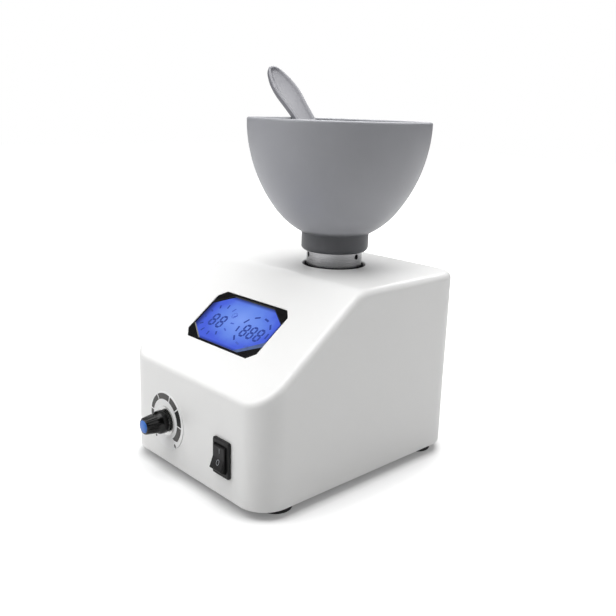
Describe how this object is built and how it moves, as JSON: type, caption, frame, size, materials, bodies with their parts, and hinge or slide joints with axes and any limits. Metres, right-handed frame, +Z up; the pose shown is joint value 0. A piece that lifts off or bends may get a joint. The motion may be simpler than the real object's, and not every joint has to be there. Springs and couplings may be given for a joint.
{
  "type": "dental impression material mixer",
  "caption": "Bench-top dental impression mixer: a motor in a sloped housing turns a flexible bowl on a steel hub, with a lit display, a speed knob and a rocker switch.",
  "frame": {"origin": "middle of the whole object's footprint, on the bench under the feet", "axes": "+Z up, +X to the right as seen from the front, -Y out of the front with the knob and switch"},
  "size_m": [0.1426, 0.1719, 0.2239],
  "materials": {
    "shell_plastic": "satin",
    "zinc_plate": "satin",
    "foot_rubber": "matt",
    "zinc_screws": "bright zinc",
    "black_steel": "black oxide",
    "aluminium": "satin",
    "bearing_steel": "ground",
    "gear_nylon": "matt",
    "hub_steel": "turned",
    "motor_steel": "satin",
    "black_moulding": "matt",
    "brass": "bright",
    "seal_rubber": "matt",
    "bowl_silicone": "satin",
    "spatula_plastic": "satin",
    "bezel_plastic": "gloss",
    "display_glass": "lit blue",
    "backlight_plastic": "frosted",
    "circuit_board": "satin",
    "dial_print": "satin",
    "plated_metal": "nickel plated",
    "knob_plastic": "fine grain",
    "cap_plastic": "satin",
    "switch_plastic": "fine grain",
    "fuse_glass": "clear",
    "spacer_nylon": "matt",
    "core_steel": "varnished",
    "winding_tape": "tape",
    "capacitor_sleeve": "sleeve",
    "lead_insulation": "extruded"
  },
  "bodies": {
    "housing": {"base_plate": "zinc_plate", "base_screws": "zinc_screws", "bearing_housing": "aluminium", "bearing_plate": "aluminium", "board_capacitors": "capacitor_sleeve", "board_connectors": "spacer_nylon", "board_spacers": "spacer_nylon", "control_board": "circuit_board", "countersunk_screws": "zinc_screws", "dial_plate": "dial_print", "display_backlight": "backlight_plastic", "display_bezel": "bezel_plastic", "display_board": "circuit_board", "display_glass": "display_glass", "display_screws": "zinc_screws", "foot_screws": "zinc_screws", "heat_sinks": "aluminium", "inlet_pins": "brass", "lock_nuts": "zinc_screws", "lower_bearing": "bearing_steel", "machine_screws": "zinc_screws", "mains_leads": "lead_insulation", "motor_can": "motor_steel", "motor_end_cap": "black_moulding", "plate_posts": "aluminium", "potentiometer_nut": "plated_metal", "potentiometer_washer": "plated_metal", "power_board": "circuit_board", "power_inlet": "black_moulding", "power_transformer": "core_steel", "rubber_foot_front_left": "foot_rubber", "rubber_foot_front_right": "foot_rubber", "rubber_foot_rear_left": "foot_rubber", "rubber_foot_rear_right": "foot_rubber", "signal_leads": "lead_insulation", "speed_potentiometer": "plated_metal", "splash_seal": "seal_rubber", "switch_housing": "switch_plastic", "switch_terminals": "brass", "transformer_winding": "winding_tape", "upper_bearing": "bearing_steel", "upper_shell": "shell_plastic"},
    "spindle": {"spindle_shaft": "bearing_steel", "upper_bearing_inner_race": "bearing_steel", "lower_bearing_inner_race": "bearing_steel", "bearing_spacer": "bearing_steel", "shaft_circlip": "black_steel", "drive_gear": "gear_nylon", "spindle_hub": "hub_steel", "grub_screws": "black_steel"},
    "rotor": {"motor_shaft": "bearing_steel", "motor_pinion": "brass"},
    "bowl": {"mixing_bowl": "bowl_silicone"},
    "spatula": {"mixing_spatula": "spatula_plastic"},
    "knob": {"speed_knob": "knob_plastic", "knob_cap": "cap_plastic", "potentiometer_shaft": "plated_metal"},
    "rocker": {"rocker_button": "switch_plastic"},
    "drawer": {"fuse_drawer": "black_moulding", "fuses": "fuse_glass"}
  },
  "joints": [
    {"name": "spindle_spin", "type": "hinge", "parent": "housing", "child": "spindle", "pos_m": [0.01128, 0.03345, 0], "axis": [0, 0, 1], "continuous": true},
    {"name": "motor_spin", "type": "hinge", "parent": "housing", "child": "rotor", "pos_m": [0.01128, -0.00405, 0], "axis": [0, 0, 1], "continuous": true},
    {"name": "bowl_lift", "type": "slide", "parent": "spindle", "child": "bowl", "axis": [0, 0, 1], "range_m": [0, 0.05]},
    {"name": "spatula_lift", "type": "slide", "parent": "bowl", "child": "spatula", "axis": [-0.7674, 0.0997, 0.6334], "range_m": [0, 0.06]},
    {"name": "knob_turn", "type": "hinge", "parent": "housing", "child": "knob", "pos_m": [-0.01001, -0.07085, 0.0298], "axis": [0, 1, 0], "range_deg": [-105, 175]},
    {"name": "rocker_tilt", "type": "hinge", "parent": "housing", "child": "rocker", "pos_m": [0.04129, -0.07105, 0.0268], "axis": [1, 0, 0], "range_deg": [0, 21]},
    {"name": "drawer_slide", "type": "slide", "parent": "housing", "child": "drawer", "axis": [0, 1, 0], "range_m": [0, 0.018]}
  ],
  "couplings": [
    {"joint": "motor_spin", "follows": "spindle_spin", "ratio": -4}
  ]
}
